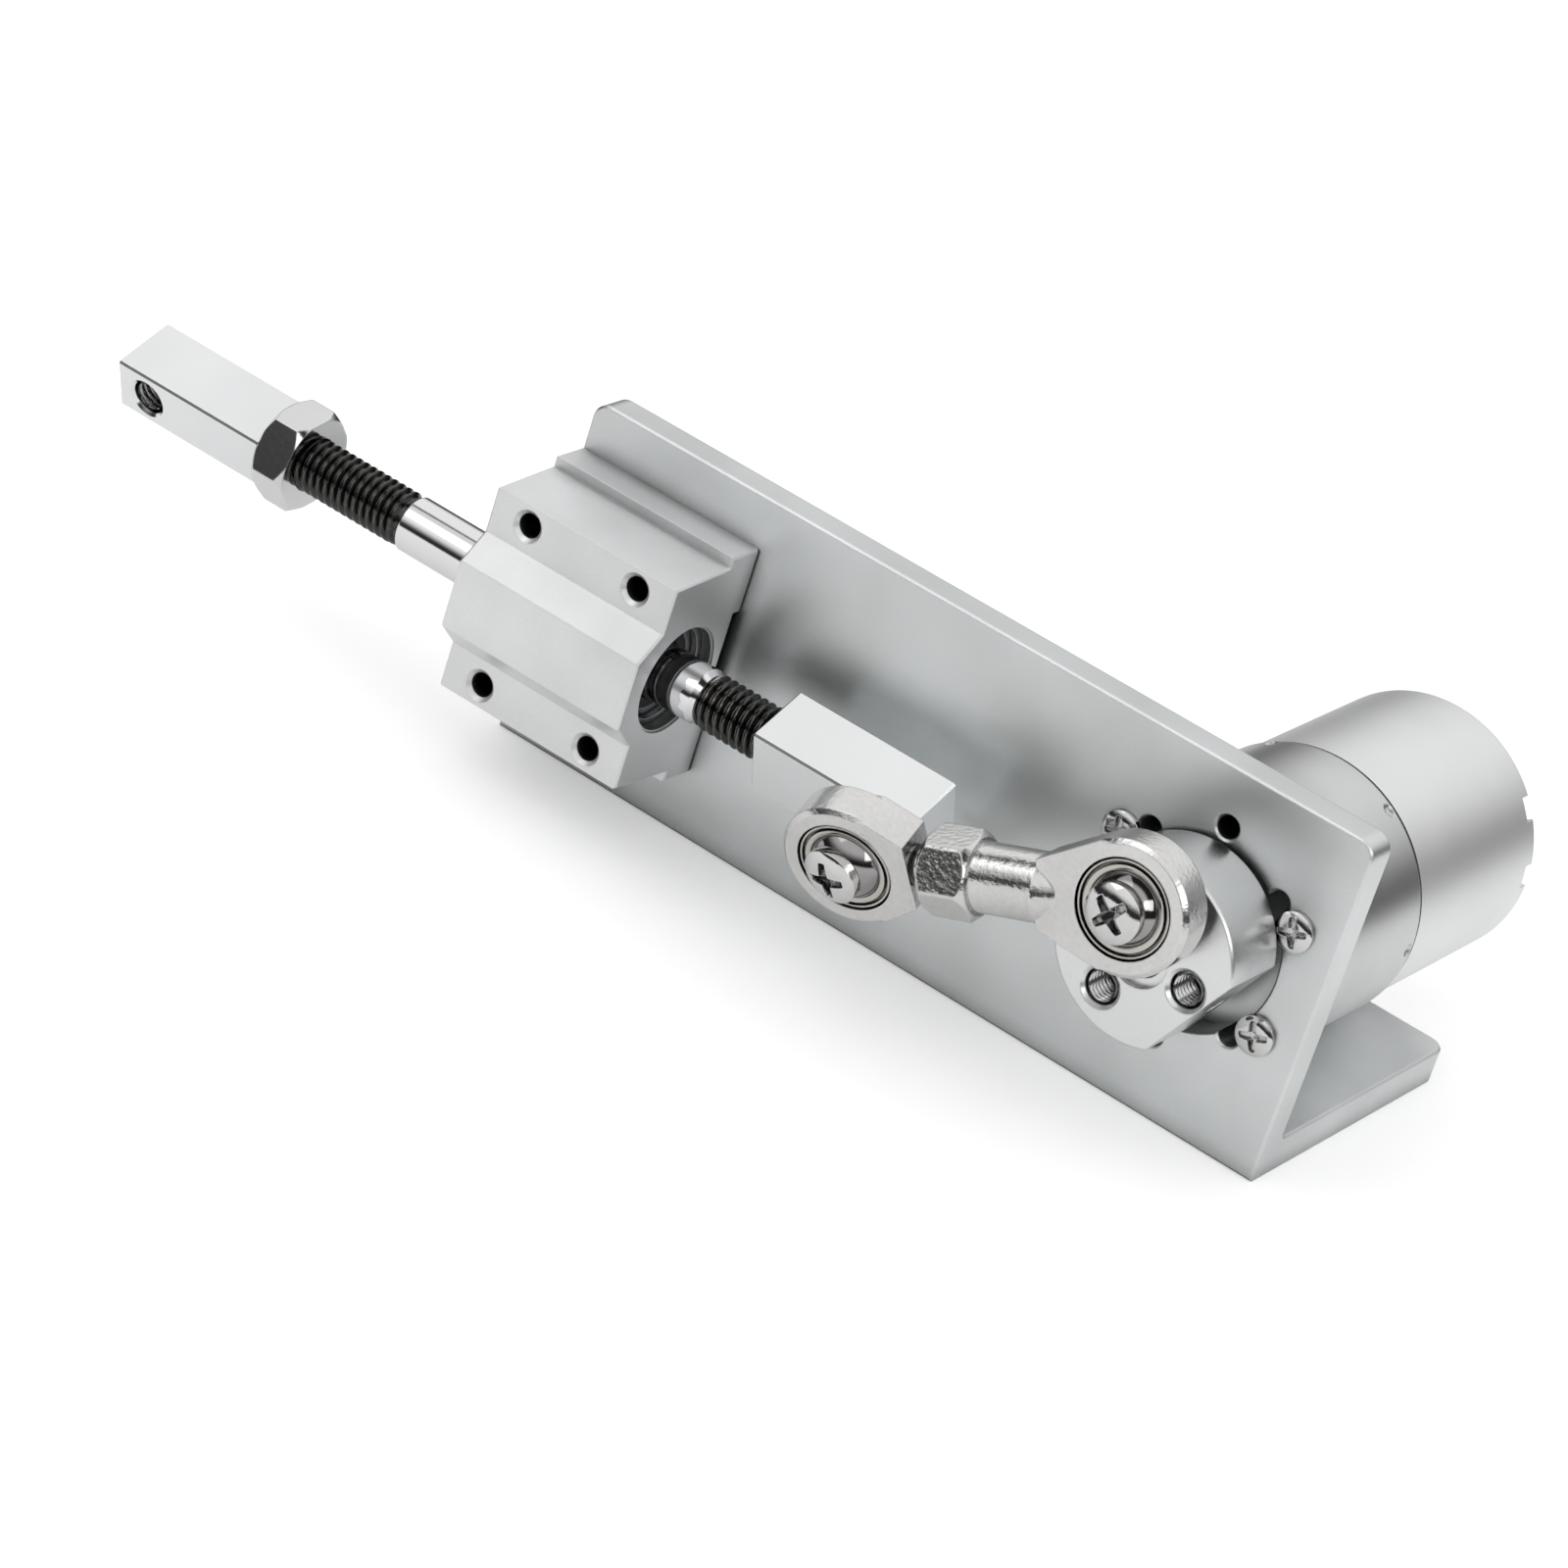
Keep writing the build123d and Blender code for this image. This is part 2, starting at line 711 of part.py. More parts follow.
def gear_sleeves():
    """Spacers on the pins that keep the compound gears in their layers."""
    first, second = gear_places()
    back = rear_plate_front()
    spans = [(first, first_wheel_span()[1] + 0.2, back), (second, second_wheel_span()[1] + 0.2, back)]
    return Compound([ring_y(y0, y1, place[0], place[1], sleeve_radius, gear_pin_radius + slip)
                     for place, y0, y1 in spans])


def gearbox_housing():
    outer = rod_y(plate_back, gearbox_back, gear_x, gear_z, gearbox_radius)
    outer = chamfer(outer.edges().filter_by(GeomType.CIRCLE), edge_break)
    inside = gearbox_radius - gearbox_side_wall
    body = outer - rod_y(plate_back + gearbox_front_wall, gearbox_back + 1, gear_x, gear_z, inside)
    body += rod_y(plate_back - boss_length, plate_back + 1, gear_x, gear_z, boss_radius)
    body -= rod_y(plate_back - boss_length - 1, plate_back + 8, gear_x, gear_z, bush_radius + press)
    for angle in gearbox_bolt_angles:
        x, z = around(gear_x, gear_z, gearbox_bolt_circle / 2, angle)
        body -= rod_y(plate_back - 1, plate_back + gearbox_front_wall + 1, x, z, m3_radius + slip)
    front = plate_back + gearbox_front_wall - 2
    for x, z in gear_places():
        body -= rod_y(front, front + 8, x, z, gear_pin_radius + press)
    for k in range(dimple_count):
        x, z = around(gear_x, gear_z, gearbox_radius + dimple_radius - dimple_depth, 360 / dimple_count * k)
        body -= Pos(x, gearbox_back - gearbox_rear_plate / 2, z) * Sphere(dimple_radius)
    return body


def motor_screw_places():
    return [around(gear_x, gear_z, motor_screw_place, motor_screw_turn + 180 * k) for k in (0, 1)]


def gearbox_back_plate():
    front = rear_plate_front()
    body = rod_y(front, gearbox_back, gear_x, gear_z, gearbox_radius - gearbox_side_wall - slip)
    body -= rod_y(front - 1, gearbox_back + 1, gear_x, gear_z, bearing_bush_radius + slip)
    for x, z in gear_places():
        body -= rod_y(front - 1, front + 1.5, x, z, gear_pin_radius + press)
    for x, z in motor_screw_places():
        body -= rod_y(front - 1, gearbox_back + 1, x, z, m3_radius + m3_clearance)
    return body


def motor_screws():
    screws = []
    for x, z in motor_screw_places():
        front = rear_plate_front()
        shank = rod_y(front, gearbox_back + can_wall, x, z, m3_radius)
        screws.append(rod_y(front - 1, front, x, z, 2.5) + shank)
    return Compound(screws)


def gearbox_screws():
    screws = []
    for angle in gearbox_screw_angles:
        x, z = around(gear_x, gear_z, gearbox_bolt_circle / 2, angle)
        head = rod_y(plate_front - screw_head_height, plate_front, x, z, screw_head_radius)
        head = chamfer(head.edges().filter_by(GeomType.CIRCLE).sort_by(Axis.Y)[0], 0.3)
        for turned in (20, 110):
            slot = box(-0.3, 0.3, -0.5, 0.5, -1.5, 1.5)
            head -= Pos(x, plate_front - screw_head_height, z) * Rot(0, turned, 0) * slot
        screws.append(head + rod_y(plate_front, plate_back + gearbox_front_wall - 0.2, x, z, m3_radius))
    return Compound(screws)


def output_bush():
    front = plate_back - boss_length
    return ring_y(front, front + bush_length, gear_x, gear_z, bush_radius, output_shaft_radius + running)


def motor_can():
    body = rod_y(gearbox_back, can_back, gear_x, gear_z, can_radius)
    body = fillet(body.edges().filter_by(GeomType.CIRCLE).sort_by(Axis.Y)[0], 1)
    body -= rod_y(gearbox_back + can_wall, can_back + 1, gear_x, gear_z, can_radius - can_wall)
    body -= rod_y(gearbox_back - 1, gearbox_back + 2, gear_x, gear_z, bearing_bush_radius + press)
    for x, z in motor_screw_places():
        body -= rod_y(gearbox_back - 1, gearbox_back + 2, x, z, m3_radius + slip)
    for angle in (35, 5, 215):
        notch = box(can_radius - 3, can_radius + 1, can_back - 1.6, can_back + 1, -1.6, 1.6)
        body -= Pos(gear_x, 0, gear_z) * Rot(0, -angle, 0) * notch
    return body


def front_bearing():
    """Sintered bush in the can's front, with a collar inside."""
    y0 = gearbox_back + can_wall - bearing_bush_length + 0.5
    nose = rod_y(y0, gearbox_back + can_wall, gear_x, gear_z, bearing_bush_radius)
    wall_back = gearbox_back + can_wall
    collar = rod_y(wall_back, wall_back + 2, gear_x, gear_z, bearing_collar_radius)
    return nose + collar - rod_y(y0 - 1, gearbox_back + 9, gear_x, gear_z, motor_shaft_radius + running)


def cap_front():
    return can_back - end_cap_inset - end_cap_thickness


def end_cap():
    front = cap_front()
    back = front + end_cap_thickness
    body = rod_y(front, back, gear_x, gear_z, can_radius - can_wall - slip)
    body += rod_y(back, back + cap_boss_height, gear_x, gear_z, cap_boss_radius)
    body -= rod_y(front - 1, back + 1, gear_x, gear_z, bearing_bush_radius + press)
    for side in (-1, 1):
        x = gear_x + side * terminal_place
        half_x, half_z = terminal_thickness / 2 + slip, terminal_width / 2 + slip
        body -= box(x - half_x, x + half_x, front - 1, back + 1, gear_z - half_z, gear_z + half_z)
    return body


def rear_bearing():
    front = cap_front()
    return ring_y(front, front + end_cap_thickness, gear_x, gear_z, bearing_bush_radius,
                  motor_shaft_radius + running)


def terminals():
    """Brush leads that come out of the cap as solder tabs, each with a hole."""
    tabs = []
    for side in (-1, 1):
        x = gear_x + side * terminal_place
        half = terminal_thickness / 2
        y1 = can_back + terminal_length
        low, high = gear_z - terminal_width / 2, gear_z + terminal_width / 2
        tab = box(x - half, x + half, cap_front() - 1, y1, low, high)
        tabs.append(tab - rod_x(x - 1, x + 1, y1 - 1.6, gear_z, 0.7))
    return Compound(tabs)


def commutator_span():
    front = cap_front() - commutator_length - 1.2
    return front, front + commutator_length


def brushes():
    """Carbon blocks on the commutator, each held by its terminal's inner end."""
    y0, y1 = commutator_span()
    middle = (y0 + y1) / 2
    blocks = []
    for side in (-1, 1):
        near = commutator_radius + brush_gap
        block = box(near, near + brush_length, middle - brush_width / 2, middle + brush_width / 2,
                    -brush_width / 2, brush_width / 2)
        blocks.append(Pos(gear_x, 0, gear_z) * Rot(0, 90 - 90 * side, 0) * block)
    return Compound(blocks)


def brush_holders():
    """Plates from the cap that carry the brushes."""
    y0, y1 = commutator_span()
    middle = (y0 + y1) / 2
    holders = []
    for side in (-1, 1):
        near = commutator_radius + 1.5
        far = near + brush_length - 0.2
        reach = brush_width / 2 + 1
        shell = box(near, far, middle - reach, cap_front(), -reach, reach)
        shell -= box(near - 1, far + 9, middle - brush_width / 2 - slip, middle + brush_width / 2 + slip,
                     -brush_width / 2 - slip, brush_width / 2 + slip)
        place = terminal_place
        shell -= box(place - 0.6, place + 0.6, cap_front() - 1 - slip, cap_front() + 1, -2, 2)
        holders.append(Pos(gear_x, 0, gear_z) * Rot(0, 90 - 90 * side, 0) * shell)
    return Compound(holders)


def magnets():
    y0 = gearbox_back + armature_start - (magnet_length - armature_length) / 2
    outer = can_radius - can_wall - slip
    tube = ring_y(y0, y0 + magnet_length, gear_x, gear_z, outer, outer - magnet_thickness)
    arcs = []
    for side in (90, 270):
        reach = 3 * can_radius
        edges = [side - magnet_half_angle, side, side + magnet_half_angle]
        points = [(reach * cos(radians(a)), reach * sin(radians(a))) for a in edges]
        sector = make_face(Polyline((0, 0), *points, close=True))
        wedge = prism_y(Pos(gear_x, gear_z) * sector, y0, y0 + magnet_length)
        arcs.append(tube & wedge)
    return Compound(arcs)


def armature():
    y0 = gearbox_back + armature_start
    y1 = y0 + armature_length
    core = rod_y(y0, y1, gear_x, gear_z, armature_radius)
    for k in range(armature_slots):
        slot = box(slot_root, armature_radius - 1, y0 - 1, y1 + 1, -2.4, 2.4)
        mouth = box(slot_root, armature_radius + 1, y0 - 1, y1 + 1, -0.7, 0.7)
        core -= Pos(gear_x, 0, gear_z) * Rot(0, -360 / armature_slots * k, 0) * (slot + mouth)
    return core - rod_y(y0 - 1, y1 + 1, gear_x, gear_z, motor_shaft_radius + press)


def windings():
    """Copper in the slots and around both ends of the core."""
    y0 = gearbox_back + armature_start
    y1 = y0 + armature_length
    coils = ring_y(y1 + slip, y1 + winding_overhang, gear_x, gear_z, winding_radius, slot_root)
    coils += ring_y(y0 - winding_overhang, y0 - slip, gear_x, gear_z, winding_radius, slot_root)
    for k in range(armature_slots):
        bar = box(slot_root + slip, winding_radius - 0.2, y0 - 1, y1 + 1, -2.2, 2.2)
        coils += Pos(gear_x, 0, gear_z) * Rot(0, -360 / armature_slots * k, 0) * bar
    return coils


def commutator():
    y0, y1 = commutator_span()
    body = ring_y(y0, y1, gear_x, gear_z, commutator_radius, motor_shaft_radius + press)
    for angle in range(0, 180, 60):
        body -= Pos(gear_x, 0, gear_z) * Rot(0, angle, 0) * box(-9, 9, y0 - 1, y0 + 3.5, -0.15, 0.15)
    return body + ring_y(y0, y1, gear_x, gear_z, commutator_radius - 0.8, motor_shaft_radius + press)


def motor_shaft():
    front = first_wheel_span()[0] - 0.3
    return rod_y(front, cap_front() + end_cap_thickness, gear_x, gear_z, motor_shaft_radius)


far_ball, near_ball = ball_points()
rod_line = (near_ball - far_ball).normalized()
far_eye = eye_plane(far_ball, rod_line, Vector(*screw_axis))
near_eye = eye_plane(near_ball, rod_line * -1, Vector(0, -1, 0))
far_turn = Pos(pivot_x, far_ball_y, far_ball_z) * Rot(end_block_turn, 0, 0)
near_place = Pos(pin_x, near_ball_y, pin_z)
half_ball = rod_ball_width / 2
far_shank = rod_ball_width + pivot_washer_thickness + cross_hole_depth
near_shank = rod_ball_width + crank_washer_thickness
far_top, near_top = half_ball + pivot_washer_thickness, half_ball + crank_washer_thickness
far_washer = ring_y(half_ball, far_top, 0, 0, pivot_washer_radius, m5_radius + slip)
near_washer = ring_y(half_ball, near_top, 0, 0, crank_washer_radius, m5_radius + slip)

nodes = {
    "bracket": drilled_bracket(),
    "slide_block": bearing_block(),
    "bearing_shell": bearing_shell(),
    "bearing_cage": bearing_cage(),
    "bearing_balls": bearing_balls(),
    "bearing_seals": bearing_seals(),
    "bearing_circlips": circlips(),
    "slide_block_screws": block_screws(),
    "sliding_shaft": sliding_shaft(),
    "jam_nut": jam_nut(),
    "far_end_block": far_end_block(),
    "slider_end_block": slider_end_block(),
    "far_pivot_washer": far_turn * far_washer,
    "far_rod_ball": far_turn * rod_ball(),
    "far_pivot_screw": far_turn * Pos(0, -half_ball, 0) * pivot_screw(far_shank),
    "far_rod_race": far_eye * rod_race(),
    "male_rod_end": far_eye * male_rod_end(),
    "female_rod_end": near_eye * female_rod_end(),
    "near_rod_race": near_eye * rod_race(),
    "near_rod_ball": near_place * rod_ball(),
    "crank_pin_washer": near_place * near_washer,
    "crank_pin_screw": near_place * Pos(0, -half_ball, 0) * pivot_screw(near_shank),
    "crank": crank(),
    "crank_set_screw": set_screw(),
    "output_shaft": output_shaft(),
    "output_gear": output_gear(),
    "gearbox_housing": gearbox_housing(),
    "gearbox_screws": gearbox_screws(),
    "output_bush": output_bush(),
    "gear_pins": gear_pins(),
    "gear_sleeves": gear_sleeves(),
    "first_compound_gear": first_gear(),
    "second_compound_gear": second_gear(),
    "gearbox_back_plate": gearbox_back_plate(),
    "motor_screws": motor_screws(),
    "motor_can": motor_can(),
    "front_bearing": front_bearing(),
    "rear_bearing": rear_bearing(),
    "motor_magnets": magnets(),
    "motor_shaft": motor_shaft(),
    "motor_pinion": motor_pinion(),
    "armature_core": armature(),
    "armature_windings": windings(),
    "commutator": commutator(),
    "brushes": brushes(),
    "brush_holders": brush_holders(),
    "motor_end_cap": end_cap(),
    "motor_terminals": terminals(),
}

rod_in_plane = sqrt(eye_to_eye**2 - side_step**2)
drop = gear_z - far_ball_z
print("far ball", far_ball, "near ball", near_ball)
print("extend", sqrt((rod_in_plane + crank_pin_radius)**2 - drop**2) - (gear_x - pivot_x))
print("retract", (gear_x - pivot_x) - sqrt((rod_in_plane - crank_pin_radius)**2 - drop**2))
print("swing up", degrees(asin((drop + crank_pin_radius) / rod_in_plane) - asin(rise / rod_in_plane)))
print("swing down", degrees(asin((drop - crank_pin_radius) / rod_in_plane) - asin(rise / rod_in_plane)))

os.makedirs("parts", exist_ok=True)
for name, shape in nodes.items():
    export_step(shape, f"parts/{name}.step")
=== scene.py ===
import json
from math import cos, pi, radians, sin, sqrt, tau

import bmesh
import bpy
from mathutils import Matrix, Vector


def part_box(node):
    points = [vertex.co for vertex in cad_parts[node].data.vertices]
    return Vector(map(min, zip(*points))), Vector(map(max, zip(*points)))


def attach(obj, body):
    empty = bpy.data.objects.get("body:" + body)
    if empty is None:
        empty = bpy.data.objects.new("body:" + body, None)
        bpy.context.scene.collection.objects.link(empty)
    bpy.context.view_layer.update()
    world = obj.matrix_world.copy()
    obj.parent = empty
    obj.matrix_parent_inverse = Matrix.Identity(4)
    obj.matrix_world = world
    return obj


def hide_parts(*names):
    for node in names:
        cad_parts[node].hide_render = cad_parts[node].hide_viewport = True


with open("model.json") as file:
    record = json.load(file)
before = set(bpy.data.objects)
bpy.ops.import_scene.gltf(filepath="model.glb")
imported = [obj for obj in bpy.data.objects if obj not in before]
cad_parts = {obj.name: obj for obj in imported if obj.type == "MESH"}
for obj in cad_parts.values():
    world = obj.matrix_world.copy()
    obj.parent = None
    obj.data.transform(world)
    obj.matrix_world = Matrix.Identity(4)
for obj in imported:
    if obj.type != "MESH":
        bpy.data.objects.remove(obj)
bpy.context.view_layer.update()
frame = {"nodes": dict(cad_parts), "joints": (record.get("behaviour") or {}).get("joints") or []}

mm = 0.001

# Camera: a long lens to the right of and above the front, rolled so that the rod rises to the left.
# Its place and turn were fitted to straight edges and round outlines of the bracket and motor.
view_azimuth = radians(27.09)
view_elevation = radians(26.06)
view_roll = radians(18.24)
view_distance = 809.1 * mm
view_target = Vector((-18.44, -25, 14.82)) * mm
lens_length = 141.5
film_width = 36
nearest_seen = 50 * mm

back = Vector((sin(view_azimuth) * cos(view_elevation), -cos(view_azimuth) * cos(view_elevation),
               sin(view_elevation)))
level = (-back).cross(Vector((0, 0, 1))).normalized()
upright = level.cross(-back)
right = cos(view_roll) * level + sin(view_roll) * upright
up = cos(view_roll) * upright - sin(view_roll) * level
camera = bpy.data.objects.new("camera", bpy.data.cameras.new("camera"))
camera.data.lens = lens_length
camera.data.sensor_width = film_width
camera.data.clip_start = nearest_seen
turned_to_view = Matrix((right, up, back)).transposed().to_4x4()
camera.matrix_world = Matrix.Translation(view_target + view_distance * back) @ turned_to_view
bpy.context.scene.collection.objects.link(camera)
bpy.context.scene.camera = camera
bpy.context.scene.view_settings.view_transform = "Standard"


# Studio: a round white table under the object, and a white surrounding. What metal mirrors is white
# overhead, black towards the horizon and black in the gap between two soft boxes. Two large soft lamps
# stand left and right.
sky_level = 0.85
mirror_dark = 0.03
mirror_black_height = 0.1
mirror_white_height = 0.52
gap_middle = -0.12
gap_half = 0.2
gap_sharpness = 8.0
table_radius = 0.5
table_fade_start = 0.3
table_tone = 0.95
table_glow = 0.25
rim_points = 96
lamps = [("key_lamp", (-0.5, -0.45, 0.85), 0.7, 1.2), ("side_lamp", (0.8, -0.35, 0.45), 0.4, 1.2)]


class Socket:
    """One output in a node tree, on which sums and products are written as Python expressions."""

    def __init__(self, tree, out=None):
        self.tree = tree
        self.out = out

    def node(self, kind, settings=(), values=(), out=0):
        """Any other node: its settings come first, then its sockets' values or links, by name or place."""
        made = self.tree.nodes.new(kind)
        for name, value in dict(settings).items():
            setattr(made, name, value)
        for key, value in dict(values).items():
            if isinstance(value, Socket):
                self.tree.links.new(value.out, made.inputs[key])
            else:
                made.inputs[key].default_value = value
        return Socket(self.tree, made.outputs[out])

    def maths(self, operation, a, b=0.0):
        return self.node("ShaderNodeMath", {"operation": operation}, {0: a, 1: b})

    def clamp(self):
        return self.node("ShaderNodeClamp", (), {0: self})

    def __add__(self, other):
        return self.maths("ADD", self, other)

    def __sub__(self, other):
        return self.maths("SUBTRACT", self, other)

    def __rsub__(self, other):
        return self.maths("SUBTRACT", other, self)

    def __mul__(self, other):
        return self.maths("MULTIPLY", self, other)

    def __truediv__(self, other):
        return self.maths("DIVIDE", self, other)

    def __pow__(self, other):
        return self.maths("POWER", self, other)

    __radd__ = __add__
    __rmul__ = __mul__


world = bpy.data.worlds.new("studio")
world.use_nodes = True
bpy.context.scene.world = world
sky = Socket(world.node_tree)
path_camera = sky.node("ShaderNodeLightPath", out="Is Camera Ray")
path_glossy = sky.node("ShaderNodeLightPath", out="Is Glossy Ray")
path_clear = sky.node("ShaderNodeLightPath", out="Is Transmission Ray")
sky_way = sky.node("ShaderNodeTexCoord", out="Generated")
sky_depth = sky.node("ShaderNodeSeparateXYZ", (), {0: sky_way}, out=1)
sky_height = sky.node("ShaderNodeSeparateXYZ", (), {0: sky_way}, out=2)
lifted = ((sky_height - mirror_black_height) / (mirror_white_height - mirror_black_height)).clamp()
beside_gap = ((sky.maths("ABSOLUTE", sky_depth - gap_middle) - gap_half) * gap_sharpness + 0.5).clamp()
mirrored = mirror_dark + (1.0 - mirror_dark) * lifted * lifted * (3.0 - 2.0 * lifted) * beside_gap
seen = (path_camera + path_clear).clamp()
light = seen + (1.0 - seen) * (path_glossy * mirrored + (1.0 - path_glossy) * sky_level)
world.node_tree.links.new(light.out, world.node_tree.nodes["Background"].inputs["Strength"])
world.node_tree.nodes["Background"].inputs["Color"].default_value = (1, 1, 1, 1)

for lamp_name, place, size, power in lamps:
    lamp = bpy.data.lights.new(lamp_name, "AREA")
    lamp.size = size
    lamp.energy = power
    lamp_object = bpy.data.objects.new(lamp_name, lamp)
    lamp_object.location = place
    lamp_object.rotation_euler = (view_target - Vector(place)).to_track_quat("-Z", "Y").to_euler()
    bpy.context.scene.collection.objects.link(lamp_object)

rim_turns = [tau * k / rim_points for k in range(rim_points)]
rim = [(table_radius * cos(turn), table_radius * sin(turn), 0) for turn in rim_turns]
table_mesh = bpy.data.meshes.new("table")
table_mesh.from_pydata(rim, [], [tuple(range(rim_points))])
table = bpy.data.objects.new("table", table_mesh)
bpy.context.scene.collection.objects.link(table)
table_paint = bpy.data.materials.new("table_paint")
table_paint.use_nodes = True
paint_shader = table_paint.node_tree.nodes["Principled BSDF"]
paint_shader.inputs["Roughness"].default_value = 1
paint_shader.inputs["Specular IOR Level"].default_value = 0
paint_shader.inputs["Emission Strength"].default_value = 1
paint = Socket(table_paint.node_tree)
table_place = paint.node("ShaderNodeTexCoord", out="Object")
from_middle = paint.node("ShaderNodeVectorMath", {"operation": "LENGTH"}, {0: table_place}, out="Value")
fade = ((from_middle - table_fade_start) / (table_radius - table_fade_start)).clamp()
table_seen = paint.node("ShaderNodeLightPath", out="Is Camera Ray")
tone = table_tone * (1.0 - fade)
glow = table_seen * (table_glow + (1.0 - table_glow) * fade)
table_colour = paint.node("ShaderNodeCombineXYZ", (), {0: tone, 1: tone, 2: tone})
table_light = paint.node("ShaderNodeCombineXYZ", (), {0: glow, 1: glow, 2: glow})
table_paint.node_tree.links.new(table_colour.out, paint_shader.inputs["Base Color"])
table_paint.node_tree.links.new(table_light.out, paint_shader.inputs["Emission Color"])
table_mesh.materials.append(table_paint)


# Angle bracket: a folded aluminium angle, sandblasted and clear anodised to an even cool grey, with its
# cut edges rounded and bright. Everything else is screwed to its upright plate.
cloud_scale = 55.0
cloud_contrast = 2.0
speckle_contrast = 10.0
speckle_gloss = 1.6
wear_and_highlight_contrast = 8.0
# Painted shade in crevices: the occlusion at which it starts, how steeply it rises, and the near black it
# darkens to.
crevice_start = 0.35
crevice_contrast = 2.6
crevice_shade_colour = (0.008, 0.008, 0.008, 1)


def mix_colour(start, factor, a, b):
    return start.node("ShaderNodeMix", {"data_type": "RGBA"}, {0: factor, 6: a, 7: b}, out=2)


def surface(name, colour, roughness, grain=2600.0, relief=0.02 * mm, streak=(1, 1, 1), cloud=0.10,
            edge=0.3 * mm, shine=0.35, metallic=1.0, speckle=0.10, crevice=1.2 * mm, shade_strength=0.6):
    """A finish: grain stretched by streak, a clouded tone, wear and painted highlight on edges, painted
    shade in crevices.
    """
    made = bpy.data.materials.new(name)
    made.use_nodes = True
    tree = made.node_tree
    shader = tree.nodes["Principled BSDF"]
    shader.inputs["Metallic"].default_value = metallic
    start = Socket(tree)
    place = start.node("ShaderNodeTexCoord", out="Object")
    laid = start.node("ShaderNodeMapping", (), {"Vector": place, "Scale": streak})
    fine = start.node("ShaderNodeTexNoise", (), {"Vector": laid, "Scale": grain, "Detail": 3.0})
    broad = start.node("ShaderNodeTexNoise", (), {"Vector": place, "Scale": cloud_scale, "Detail": 2.0})
    rounded = start.node("ShaderNodeBevel", {"samples": 4}, {"Radius": edge})
    plain = start.node("ShaderNodeNewGeometry", out="Normal")
    facing = start.node("ShaderNodeVectorMath", {"operation": "DOT_PRODUCT"}, {0: rounded, 1: plain},
                        out="Value")
    # Wear and painted highlight: the colour is lightened along edges, where the bevelled normal turns away
    # from the plain one.
    worn_and_highlit = ((1.0 - facing) * wear_and_highlight_contrast).clamp()
    dark = tuple(c * (1 - cloud) for c in colour) + (1,)
    pale = tuple(min(1, c * (1 + cloud)) for c in colour) + (1,)
    bright = tuple(min(1, c + shine * (1 - c)) for c in colour) + (1,)
    speckled = (fine - 0.5) * (speckle * speckle_contrast)
    clouded = mix_colour(start, ((broad - 0.5) * cloud_contrast + 0.5 + speckled).clamp(), dark, pale)
    edged = mix_colour(start, worn_and_highlit, clouded, bright)
    # Painted shade: where ambient occlusion finds other surfaces close by, in creases, holes, gaps between
    # parts and under screw heads, the colour is darkened to near black.
    open_air = start.node("ShaderNodeAmbientOcclusion", {"samples": 4}, {"Distance": crevice}, out="AO")
    shut_in = ((1.0 - open_air - crevice_start) * (crevice_contrast * shade_strength)).clamp()
    crevice_shaded = mix_colour(start, shut_in, edged, crevice_shade_colour)
    tree.links.new(crevice_shaded.out, shader.inputs["Base Color"])
    rough = ((fine - 0.5) * (speckle * speckle_gloss) + roughness).clamp()
    tree.links.new(rough.out, shader.inputs["Roughness"])
    bump = start.node("ShaderNodeBump", (), {"Strength": 1.0, "Distance": relief, "Height": fine,
                                             "Normal": rounded})
    tree.links.new(bump.out, shader.inputs["Normal"])
    return made


def dress(material, *names):
    """Gives CAD nodes their finish."""
    for name in names:
        mesh = frame["nodes"][name].data
        mesh.materials.clear()
        mesh.materials.append(material)


blasted = surface("blasted_aluminium", (0.73, 0.75, 0.75), 0.38, grain=3800.0, relief=0.012 * mm,
                  speckle=0.06, crevice=6 * mm, shade_strength=0.8)
dress(blasted, "bracket")


# Linear bearing block: an extruded and anodised aluminium body, drawn along the shaft so that faint
# lines run that way, held from behind by four screws.
drawn = surface("drawn_aluminium", (0.79, 0.795, 0.80), 0.42, grain=3400.0, relief=0.008 * mm,
                streak=(0.5, 1, 1), speckle=0.05, edge=0.2 * mm, crevice=6 * mm, shade_strength=0.9)
dress(drawn, "slide_block")


# Linear bearing in the block: a ground steel shell with rows of balls in a dark moulded cage, lipped
# rubber seals at both ends and a spring clip in a groove outside each.
ground_steel = surface("ground_steel", (0.40, 0.40, 0.41), 0.2, grain=2400.0, relief=0.003 * mm,
                       crevice=3 * mm, shade_strength=0.9)
moulded_cage = surface("moulded_cage", (0.03, 0.03, 0.032), 0.5, metallic=0.0, shine=0.05)
seal_rubber = surface("seal_rubber", (0.012, 0.012, 0.012), 0.55, metallic=0.0, shine=0.03)
dress(ground_steel, "bearing_shell", "bearing_balls", "bearing_circlips")
dress(moulded_cage, "bearing_cage")
dress(seal_rubber, "bearing_seals")


# Block screws: plated steel cap screws that pass through the upright plate from behind, into tapped
# holes in the bearing block.
plated_steel = surface("plated_steel", (0.62, 0.62, 0.63), 0.28, grain=3000.0, relief=0.008 * mm)
dress(plated_steel, "slide_block_screws")


# Sliding shaft: hard chromed and polished, with a rolled thread on each end that the blocks and the jam
# nut screw onto. The threads are coloured near black, painted shade for their grooves, with painted
# highlight on their crest edges, and they follow a helix rule.
shaft_radius = 4 * mm
smooth_start = -77.65 * mm
smooth_end = -27.55 * mm
far_shoulder = 0.6 * mm
near_shoulder = 0.9 * mm
shoulder_taper = 0.3 * mm
shoulder_drop = 0.9 * mm
thread_pitch = 1.25 * mm
thread_depth = 0.72 * mm
thread_inset = 0.1 * mm
merge_distance = 0.002 * mm


